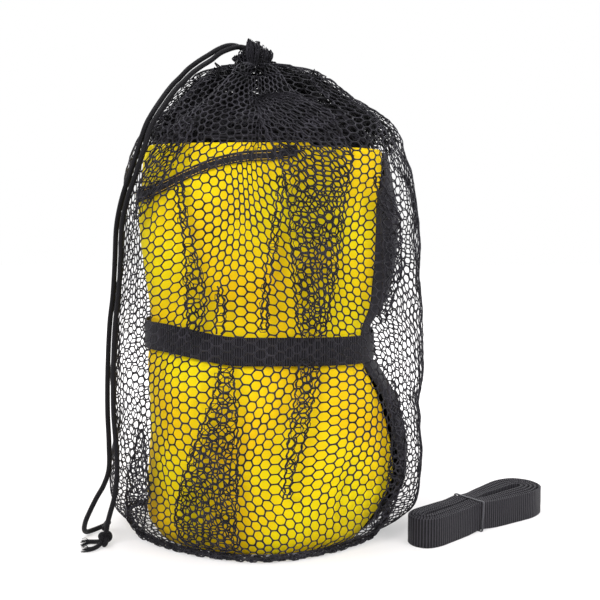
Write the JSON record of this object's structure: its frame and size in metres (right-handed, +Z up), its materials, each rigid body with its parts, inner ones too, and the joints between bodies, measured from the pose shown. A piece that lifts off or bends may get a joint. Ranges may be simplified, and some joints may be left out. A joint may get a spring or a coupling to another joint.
{
  "type": "packed volleyball net",
  "caption": "Volleyball net folded and strapped inside a drawstring mesh bag, with a banded hank of spare strap lying beside it",
  "frame": {"origin": "the middle of the bag's base where it rests on the ground", "axes": "+Z up from the ground to the drawn mouth, +X to the right where the spare strap lies, +Y to the back of the bag"},
  "size_m": [0.455, 0.2098, 0.4703],
  "materials": {
    "yellow_cloth": "matt coated cloth",
    "black_cloth": "matt",
    "black_net": "matt knitted mesh",
    "black_webbing": "ribbed weave",
    "black_cord": "braided",
    "grey_band": "matt"
  },
  "bodies": {
    "bag": {"yellow_band_wrap": "yellow_cloth", "yellow_band_inner_fold": "yellow_cloth", "black_edge_binding": "black_cloth", "side_sleeve_fold": "black_cloth", "folded_netting_core": "black_net", "wrap_strap": "black_webbing", "strap_loop_patch": "black_cloth", "strap_hook_patch": "black_cloth", "base_seam": "black_net", "base_panel": "black_net", "bag_net": "black_net", "mouth_gather": "black_net", "drawstring_mouth_loop": "black_cord", "drawstring_outer_run": "black_cord", "drawstring_inner_run": "black_cord", "drawstring_upper_tail": "black_cord", "drawstring_lower_tail": "black_cord", "drawstring_knot": "black_cord"},
    "spare_strap": {"spare_strap_webbing": "black_webbing", "spare_strap_band": "grey_band"}
  },
  "joints": [
    {"name": "spare_strap_lift", "type": "slide", "parent": "bag", "child": "spare_strap", "axis": [0.6667, -0.3333, 0.6667], "range_m": [0, 0.5]}
  ]
}
